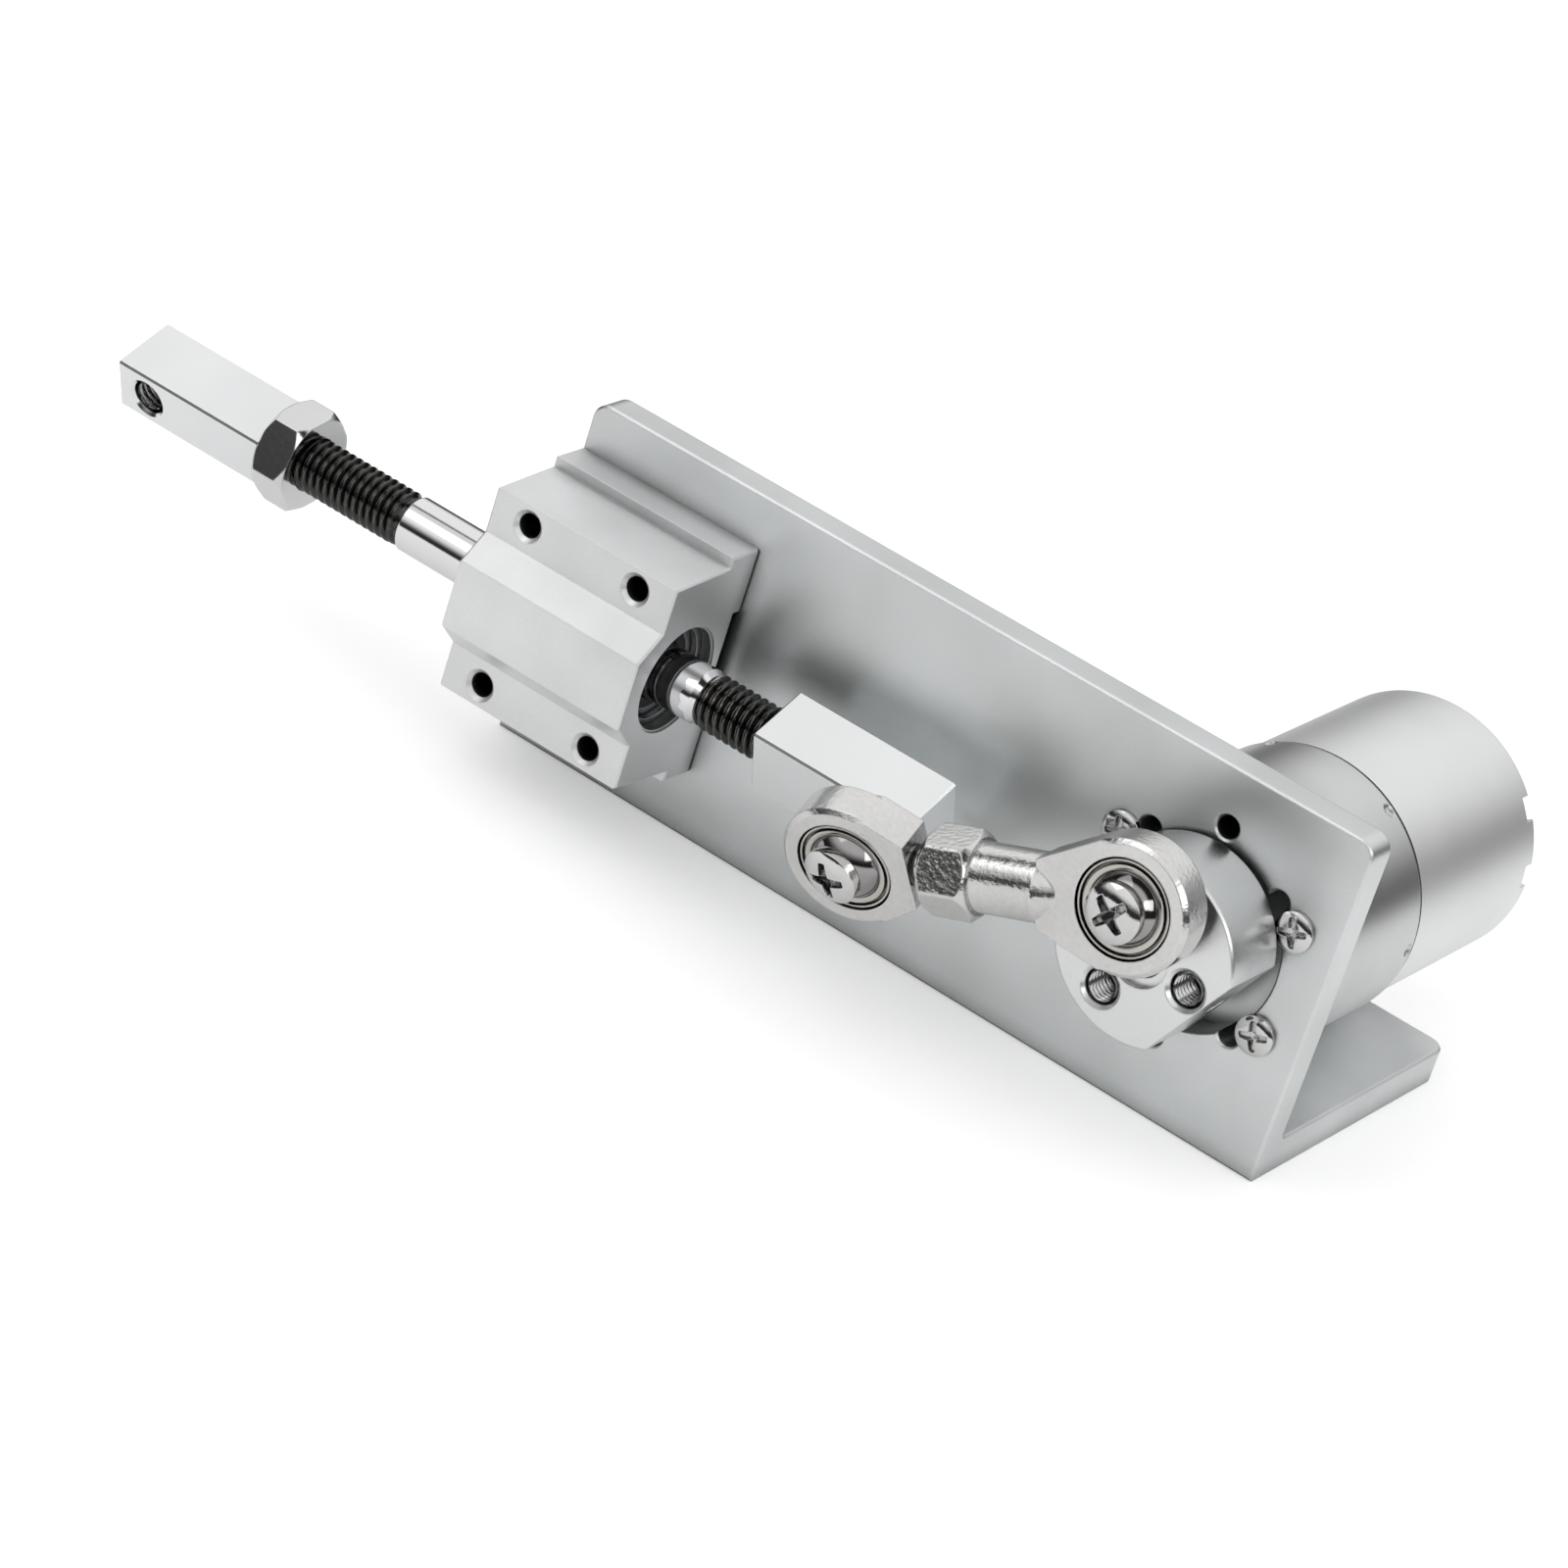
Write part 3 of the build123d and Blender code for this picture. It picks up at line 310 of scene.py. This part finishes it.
def make_tree(name, inputs):
    """A geometry tree with named inputs, and their sockets."""
    tree = bpy.data.node_groups.new(name, "GeometryNodeTree")
    tree.interface.new_socket("Geometry", in_out="INPUT", socket_type="NodeSocketGeometry")
    for key, kind in inputs:
        tree.interface.new_socket(key, in_out="INPUT", socket_type="NodeSocket" + kind)
    tree.interface.new_socket("Geometry", in_out="OUTPUT", socket_type="NodeSocketGeometry")
    entry = tree.nodes.new("NodeGroupInput")
    return tree, {s.name: Socket(tree, s) for s in entry.outputs if s.name}


def end_tree(tree, given, shape):
    """Puts the tree's shape on every place, turned and dressed as its inputs say."""
    start = Socket(tree)
    made = start.node("GeometryNodeInstanceOnPoints", (), {"Points": given["Geometry"], "Instance": shape,
                                                           "Rotation": given["Rotation"]})
    made = start.node("GeometryNodeRealizeInstances", (), {0: made})
    made = start.node("GeometryNodeSetMaterial", (), {"Geometry": made, "Material": given["Material"]})
    tree.links.new(made.out, tree.nodes.new("NodeGroupOutput").inputs[0])


def smooth_faces(mesh, crease):
    """Smooth shading, with an edge left sharp where its faces meet at more than the crease's degrees."""
    mesh.polygons.foreach_set("use_smooth", [True] * len(mesh.polygons))
    mesh.set_sharp_from_angle(angle=radians(crease))


def grow(name, tree, body, places, crease=35, **values):
    """Runs a geometry tree on a mesh of places, and turns what it makes into a plain mesh on a body."""
    seed = bpy.data.meshes.new(name + "_places")
    seed.from_pydata([tuple(p) for p in places], [], [])
    piece = bpy.data.objects.new(name, seed)
    bpy.context.scene.collection.objects.link(piece)
    modifier = piece.modifiers.new("grow", "NODES")
    modifier.node_group = tree
    for item in tree.interface.items_tree:
        key = item.name.replace(" ", "_").lower()
        if item.in_out == "INPUT" and key in values:
            modifier[item.identifier] = values[key]
    bpy.context.view_layer.update()
    made = bpy.data.meshes.new_from_object(piece.evaluated_get(bpy.context.evaluated_depsgraph_get()))
    piece.modifiers.clear()
    piece.data = made
    smooth_faces(made, crease)
    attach(piece, body)
    return piece


def thread_shape():
    """A grid wound round the X axis, whose radius follows the flanks of a screw thread."""
    rows_per_turn = 10.0
    columns = 49
    crest = 0.12
    flank_run = 0.70
    whole_turns = 100.0
    open_lip = 0.02
    tree, given = make_tree("thread", [("Length", "Float"), ("Radius", "Float"), ("Depth", "Float"),
                                       ("Pitch", "Float"), ("Inner", "Bool"), ("Rotation", "Vector"),
                                       ("Material", "Material")])
    start = Socket(tree)
    length, radius, pitch = given["Length"], given["Radius"], given["Pitch"]
    rows = length / pitch * rows_per_turn + 1.0
    grid = start.node("GeometryNodeMeshGrid", (), {0: length, 1: tau, 2: rows, 3: columns})
    place = start.node("GeometryNodeInputPosition")
    along = start.node("ShaderNodeSeparateXYZ", (), {0: place}, out=0)
    angle = start.node("ShaderNodeSeparateXYZ", (), {0: place}, out=1)
    turn = start.maths("FRACT", along / pitch - angle / tau + whole_turns)
    flank = start.maths("ABSOLUTE", 2.0 * turn - 1.0)
    groove = ((flank - crest) / flank_run).clamp()
    inset = length / 2.0 - start.maths("ABSOLUTE", along)
    lead = 1.0 - (inset / pitch).clamp()
    cut = start.maths("MAXIMUM", groove, lead) * given["Depth"]
    hollow = start.node("GeometryNodeSwitch", {"input_type": "FLOAT"}, {0: given["Inner"], 1: 1.0, 2: 0.0})
    open_end = start.maths("GREATER_THAN", inset, pitch * open_lip)
    keep = start.maths("MAXIMUM", open_end, 1.0 - hollow)
    reach = (radius - cut) * keep
    y = reach * start.maths("COSINE", angle)
    z = reach * start.maths("SINE", angle)
    moved = start.node("ShaderNodeCombineXYZ", (), {0: along, 1: y, 2: z})
    shape = start.node("GeometryNodeSetPosition", (), {"Geometry": grid, "Position": moved})
    shape = start.node("GeometryNodeMergeByDistance", (), {"Geometry": shape, "Distance": merge_distance})
    outward = start.maths("GREATER_THAN", hollow, 0.5)
    shape = start.node("GeometryNodeFlipFaces", (), {"Mesh": shape, "Selection": outward})
    end_tree(tree, given, shape)
    return tree


def revolve(name, profile, axis_start, axis, body, steps=96, crease=30, ring=False):
    """Shape turned about an axis, from (distance along it, radius) points. A ring's profile is closed."""
    double_distance = 0.0008 * mm
    sliver_distance = 0.0005 * mm
    way = Vector(axis).normalized()
    side = way.orthogonal().normalized()
    other = way.cross(side)
    points = []
    faces = []
    for along, radius in profile:
        for k in range(steps):
            turn = tau * k / steps
            spoke = cos(turn) * side + sin(turn) * other
            points.append(Vector(axis_start) + along * way + radius * spoke)
    rows = len(profile)
    for row in range(rows if ring else rows - 1):
        below = row * steps
        above = (row + 1) % rows * steps
        for k in range(steps):
            after = (k + 1) % steps
            faces.append((below + k, below + after, above + after, above + k))
    mesh = bpy.data.meshes.new(name)
    mesh.from_pydata(points, [], faces)
    form = bmesh.new()
    form.from_mesh(mesh)
    bmesh.ops.remove_doubles(form, verts=form.verts, dist=double_distance)
    bmesh.ops.dissolve_degenerate(form, dist=sliver_distance, edges=form.edges)
    bmesh.ops.recalc_face_normals(form, faces=form.faces)
    form.to_mesh(mesh)
    form.free()
    smooth_faces(mesh, crease)
    piece = bpy.data.objects.new(name, mesh)
    bpy.context.scene.collection.objects.link(piece)
    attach(piece, body)
    return piece


polished = surface("polished_chrome", (0.78, 0.78, 0.79), 0.05, grain=1500.0, relief=0.0015 * mm,
                   cloud=0.03, speckle=0.02)
# Painted shade: the threads are coloured near black all over, standing in for the shade of their grooves;
# their lightened crest edges are painted highlight.
oiled_thread = surface("oiled_thread", (0.07, 0.068, 0.065), 0.16, grain=2400.0, relief=0.01 * mm,
                       edge=0.08 * mm, shine=0.3, cloud=0.3)

shaft_low, shaft_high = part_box("sliding_shaft")
shaft_centre = (shaft_low + shaft_high) / 2
shaft_line = (0, shaft_centre.y, shaft_centre.z)
shoulder_radius = shaft_radius - shoulder_drop
barrel_section = [(smooth_start - far_shoulder, 0), (smooth_start - far_shoulder, shoulder_radius),
                  (smooth_start + shoulder_taper, shaft_radius),
                  (smooth_end - shoulder_taper, shaft_radius),
                  (smooth_end + near_shoulder, shoulder_radius), (smooth_end + near_shoulder, 0)]
barrel = revolve("shaft_barrel", barrel_section, shaft_line, (1, 0, 0), "slider")
barrel.data.materials.append(polished)
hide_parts("sliding_shaft")

thread = thread_shape()
for thread_name, low, high in (("shaft_thread_far", shaft_low.x, smooth_start),
                               ("shaft_thread_near", smooth_end, shaft_high.x)):
    wound = grow(thread_name, thread, "slider", [((low + high) / 2, shaft_centre.y, shaft_centre.z)],
                 length=high - low, radius=shaft_radius - thread_inset, depth=thread_depth,
                 pitch=thread_pitch, inner=False, material=oiled_thread)
    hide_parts("sliding_shaft")


# End blocks and jam nut: square aluminium bars sawn to length, with tapped holes, and a plated steel nut
# that locks the far one. The bars are turned about the shaft to line up with the rod's pivot.
sawn = surface("sawn_bar", (0.80, 0.81, 0.815), 0.14, grain=1800.0, relief=0.003 * mm, cloud=0.04,
               speckle=0.03, edge=0.05 * mm, shine=0.1)
nut_plate = surface("nut_plate", (0.70, 0.70, 0.705), 0.1, grain=1500.0, relief=0.004 * mm, cloud=0.05,
                    speckle=0.03, edge=0.3 * mm)
tap_steel = surface("tap_steel", (0.42, 0.42, 0.43), 0.2, grain=1800.0, relief=0.004 * mm,
                    edge=0.05 * mm, crevice=4 * mm, shade_strength=0.6)
dress(sawn, "far_end_block", "slider_end_block")
dress(nut_plate, "jam_nut")
pivot_tilt = radians(24)
screw_way = Vector((0, -cos(pivot_tilt), -sin(pivot_tilt)))
bar_side = 10 * mm
tap_inset = 5.1 * mm
tap_lead_in = 0.6 * mm
tap_radius = 2.52 * mm
tap_pitch = 0.8 * mm
tap_depth = 0.42 * mm
tap_place = (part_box("far_end_block")[0].x + tap_inset, shaft_centre.y, shaft_centre.z)
tapped = grow("far_block_tapping", thread, "slider", [tap_place], length=bar_side - 2 * tap_lead_in,
              radius=tap_radius, depth=tap_depth, pitch=tap_pitch, inner=True,
              rotation=screw_way.to_track_quat("X", "Z").to_euler(), material=tap_steel)


# Ball rod ends: forged and zinc plated, one with a stem and one with a hexagon collar. In each eye a
# pressed-in race holds a polished ball, and a pan head screw clamps the ball to its block or crank.
zinc = surface("forged_zinc", (0.66, 0.655, 0.645), 0.17, grain=1500.0, relief=0.06 * mm, cloud=0.12,
               shade_strength=1.0)
race_metal = surface("race_metal", (0.56, 0.54, 0.50), 0.16, grain=2400.0, relief=0.006 * mm, cloud=0.08,
                     crevice=0.8 * mm, shade_strength=1.3)
dark_chrome = surface("dark_chrome", (0.34, 0.33, 0.33), 0.06, grain=1500.0, relief=0.002 * mm,
                      cloud=0.05, crevice=2 * mm, shade_strength=0.8)
screw_chrome = surface("screw_chrome", (0.66, 0.655, 0.65), 0.08, grain=1200.0, edge=0.15 * mm,
                       crevice=1.6 * mm, shade_strength=1.0)
dress(zinc, "male_rod_end", "female_rod_end")
dress(race_metal, "far_rod_race", "near_rod_race")
dress(dark_chrome, "far_rod_ball", "near_rod_ball")
dress(screw_chrome, "far_pivot_washer", "crank_pin_washer", "far_pivot_screw", "crank_pin_screw")

joints = {joint["name"]: joint for joint in frame["joints"]}
near_low, near_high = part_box("near_rod_ball")
far_ball = Vector(joints["rod_swing"]["pos_m"])
near_ball = (near_low + near_high) / 2
rod_way = (near_ball - far_ball).normalized()
race_radius = 6.7 * mm
race_half = 2.8 * mm
race_bore = 5.1 * mm
lip_width = 0.45 * mm
lip_drop = 0.3 * mm
groove_outer = 6.15 * mm
groove_inner = 5.68 * mm
groove_depth = 0.6 * mm
groove_draft = 0.07 * mm
seat_radius = 5.606 * mm
seat_reach = 0.97
seat_steps = 10


def race_profile():
    """Section of a race: a rounded lip, a shallow groove and the ball's seat, the same on both faces."""
    floor = race_half - groove_depth
    face = [(race_half - lip_width, race_radius), (race_half, race_radius - lip_drop),
            (race_half, groove_outer), (floor, groove_outer - groove_draft),
            (floor, groove_inner + groove_draft), (race_half, groove_inner), (race_half, race_bore)]
    seat = [race_half * seat_reach * (1 - 2 * k / seat_steps) for k in range(seat_steps + 1)]
    bowl = [(a, sqrt(seat_radius ** 2 - a ** 2)) for a in seat]
    return face + bowl + [(-a, r) for a, r in reversed(face)]


for race_name, node, ball, facing in (("far_race", "far_rod_race", far_ball, screw_way),
                                      ("near_race", "near_rod_race", near_ball, Vector((0, -1, 0)))):
    eye_way = (facing - rod_way * rod_way.dot(facing)).normalized()
    race = revolve(race_name, race_profile(), ball, eye_way, "connecting_rod", ring=True)
    race.data.materials.append(race_metal)
    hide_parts(node)

stem_thread_place = 10.6 * mm
stem_thread_length = 2.6 * mm
stem_thread_radius = 2.76 * mm
stem_thread_depth = 0.34 * mm
# The stem's thread is coloured near black as painted shade, like the shaft's.
stem = grow("stem_thread", thread, "connecting_rod", [far_ball + rod_way * stem_thread_place],
            length=stem_thread_length, radius=stem_thread_radius, depth=stem_thread_depth, pitch=tap_pitch,
            inner=False, rotation=rod_way.to_track_quat("X", "Z").to_euler(), material=oiled_thread)


def screw_shape():
    """A screw on every place: a domed head with a cross recess, and its shank."""
    head_rows = 81
    head_columns = 129
    dome_share = 0.8
    side_share = 0.1
    dome_drop = 0.45
    dome_curve = 3.5
    arm_width = 0.30
    arm_taper = 0.12
    arm_wall = 0.06
    end_wall = 0.10
    floor_rise = 0.55
    shank_sides = 32
    shank_gap = 0.02 * mm
    tree, given = make_tree("cross_screw", [("Radius", "Float"), ("Height", "Float"), ("Recess", "Float"),
                                            ("Depth", "Float"), ("Shank", "Float"),
                                            ("Shank Length", "Float"), ("Turn", "Float"),
                                            ("Rotation", "Vector"), ("Material", "Material")])
    start = Socket(tree)
    radius, height, recess = given["Radius"], given["Height"], given["Recess"]
    grid = start.node("GeometryNodeMeshGrid", (), {0: 1.0, 1: tau, 2: head_rows, 3: head_columns})
    place = start.node("GeometryNodeInputPosition")
    course = start.node("ShaderNodeSeparateXYZ", (), {0: place}, out=0) + 0.5
    angle = start.node("ShaderNodeSeparateXYZ", (), {0: place}, out=1)
    top = (course / dome_share).clamp()
    side = ((course - dome_share) / side_share).clamp()
    under = ((course - (dome_share + side_share)) / side_share).clamp()
    reach = top * (1.0 - under) * radius
    dome = 1.0 - dome_drop * top ** dome_curve
    u = start.maths("ABSOLUTE", reach * start.maths("COSINE", angle - given["Turn"]))
    v = start.maths("ABSOLUTE", reach * start.maths("SINE", angle - given["Turn"]))
    outward = start.maths("MAXIMUM", u, v) / recess
    arm = (arm_width - arm_taper * outward) * recess
    in_arm = ((arm - start.maths("MINIMUM", u, v)) / (arm_wall * recess)).clamp()
    in_reach = ((1.0 - outward) / end_wall).clamp()
    sunk = in_arm * in_reach * (1.0 - floor_rise * outward) * given["Depth"]
    x = reach * start.maths("COSINE", angle)
    y = reach * start.maths("SINE", angle)
    z = height * dome * (1.0 - side) - sunk
    moved = start.node("ShaderNodeCombineXYZ", (), {0: x, 1: y, 2: z})
    head = start.node("GeometryNodeSetPosition", (), {"Geometry": grid, "Position": moved})
    head = start.node("GeometryNodeMergeByDistance", (), {"Geometry": head, "Distance": merge_distance})
    length = given["Shank Length"]
    shank = start.node("GeometryNodeMeshCylinder", (), {"Vertices": shank_sides, "Radius": given["Shank"],
                                                        "Depth": length})
    down = start.node("ShaderNodeCombineXYZ", (), {2: length * -0.5 - shank_gap})
    shank = start.node("GeometryNodeTransform", (), {"Geometry": shank, "Translation": down})
    join = start.node("GeometryNodeJoinGeometry", (), {0: head})
    tree.links.new(shank.out, join.out.node.inputs[0])
    end_tree(tree, given, join)
    return tree


cross_screw = screw_shape()
half_ball = 4 * mm
pivot_head = dict(radius=4 * mm, height=2.3 * mm, recess=2.7 * mm, depth=1.9 * mm, shank=2.5 * mm)
far_screw = grow("far_pan_screw", cross_screw, "slider", [far_ball + screw_way * half_ball],
                 shank_length=18.3 * mm, turn=0.35, rotation=(pi / 2 + pivot_tilt, 0, 0),
                 material=screw_chrome, **pivot_head)
near_screw = grow("crank_pan_screw", cross_screw, "connecting_rod", [near_ball - Vector((0, half_ball, 0))],
                  shank_length=9.0 * mm, turn=0.9, rotation=(pi / 2, 0, 0), material=screw_chrome,
                  **pivot_head)
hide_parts("far_pivot_screw")
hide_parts("crank_pin_screw")


# Crank: a turned aluminium disc with a flat for its set screw, and three tapped holes at different
# throws. The rod's screw is in one, and the other two stay empty and show their threads.
axle = Vector(joints["crank_turn"]["pos_m"])
turned = surface("turned_aluminium", (0.78, 0.785, 0.79), 0.28, grain=3200.0, relief=0.0008 * mm,
                 cloud=0.03, speckle=0.02, crevice=1.4 * mm, shade_strength=0.5)
cut_thread = surface("cut_thread", (0.62, 0.62, 0.63), 0.16, grain=1800.0, relief=0.004 * mm,
                     edge=0.06 * mm, shade_strength=0.0)
dress(turned, "crank")
dress(plated_steel, "crank_set_screw")
spare_throw = 7.5 * mm
spare_turns = [radians(-118.5), radians(-6.4)]
spare_radius = 2.47 * mm
spare_lead_in = 0.5 * mm
spare_depth = 5.2 * mm
spare_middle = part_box("crank")[0].y + spare_lead_in + spare_depth / 2
spare_places = [(axle.x + spare_throw * cos(a), spare_middle, axle.z + spare_throw * sin(a))
                for a in spare_turns]
spare_tapping = grow("crank_tapping", thread, "crank_and_output", spare_places, length=spare_depth,
                     radius=spare_radius, depth=tap_depth, pitch=tap_pitch, inner=True,
                     rotation=(0, 0, pi / 2), material=cut_thread)


# Gearbox: a turned zinc body with a short boss through the plate, staked to its back plate and held by
# low cross-head screws. Inside are steel gears on ground pins and a bronze bush for the output shaft.
satin_zinc = surface("satin_zinc", (0.64, 0.645, 0.65), 0.32, grain=3000.0, relief=0.004 * mm,
                     speckle=0.03, crevice=5 * mm, shade_strength=1.0)
bronze = surface("sintered_bronze", (0.60, 0.42, 0.22), 0.35, grain=3000.0, relief=0.01 * mm)
gear_steel = surface("gear_steel", (0.42, 0.42, 0.43), 0.3, grain=2400.0, relief=0.008 * mm)
dress(satin_zinc, "gearbox_housing", "gearbox_back_plate")
dress(bronze, "output_bush", "front_bearing", "rear_bearing")
dress(gear_steel, "output_gear", "first_compound_gear", "second_compound_gear", "motor_pinion")
dress(ground_steel, "output_shaft", "gear_pins", "gear_sleeves", "motor_shaft")
dress(plated_steel, "motor_screws", "gearbox_screws")
bolt_radius = 15.5 * mm
bolt_turns = [radians(a) for a in (30, 150, 210, 330)]
bolt_gap = 0.01 * mm
bolt_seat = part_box("bracket")[0].y - bolt_gap
bolt_places = [(axle.x + bolt_radius * cos(a), bolt_seat, axle.z + bolt_radius * sin(a))
               for a in bolt_turns]
front_screws = grow("gearbox_front_screws", cross_screw, "base", bolt_places, radius=2.75 * mm,
                    height=1.2 * mm, recess=2.1 * mm, depth=1.0 * mm, shank=1.5 * mm,
                    shank_length=7.7 * mm, turn=0.3, rotation=(pi / 2, 0, 0), material=screw_chrome)
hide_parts("gearbox_screws")


# Motor: a drawn and plated steel can, notched at its open rear, with a moulded cap and two solder tabs.
# Inside are ferrite magnets, a slotted core with copper coils, a commutator and carbon brushes.
plated_can = surface("plated_can", (0.86, 0.865, 0.87), 0.44, grain=3000.0, relief=0.002 * mm,
                     speckle=0.02, cloud=0.04, shade_strength=0.9)
ferrite = surface("ferrite", (0.05, 0.05, 0.052), 0.6, metallic=0.0, shine=0.05)
core = surface("laminated_core", (0.30, 0.30, 0.31), 0.4, streak=(1, 6, 1))
copper = surface("copper_wire", (0.72, 0.32, 0.14), 0.3, streak=(1, 4, 1))
carbon = surface("brush_carbon", (0.03, 0.03, 0.03), 0.5, metallic=0.0, shine=0.04)
cap_plastic = surface("cap_plastic", (0.025, 0.025, 0.028), 0.45, metallic=0.0, shine=0.05)
brass = surface("tinned_brass", (0.72, 0.62, 0.38), 0.25)
dress(plated_can, "motor_can")
dress(ferrite, "motor_magnets")
dress(core, "armature_core")
dress(copper, "armature_windings", "commutator")
dress(carbon, "brushes")
dress(cap_plastic, "motor_end_cap", "brush_holders")
dress(brass, "motor_terminals")

# Painted shade: a thin near-black ring where the gearbox meets the can, standing in for the shade in the
# gap between the gearbox's rim and the can; it uses the seals' black rubber finish.
seam_inner = 17.9 * mm
seam_outer = 18.32 * mm
seam_start = 0.02 * mm
seam_end = 0.5 * mm
seam_bevel = 0.1 * mm
seam_drop = 0.12 * mm
seam_place = (axle.x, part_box("gearbox_housing")[1].y, axle.z)
seam_section = [(seam_start, seam_inner), (seam_start, seam_outer), (seam_end - seam_bevel, seam_outer),
                (seam_end, seam_outer - seam_drop), (seam_end, seam_inner)]
gap_shade_ring = revolve("can_seam", seam_section, seam_place, (0, 1, 0), "base", steps=160)
gap_shade_ring.data.materials.append(seal_rubber)
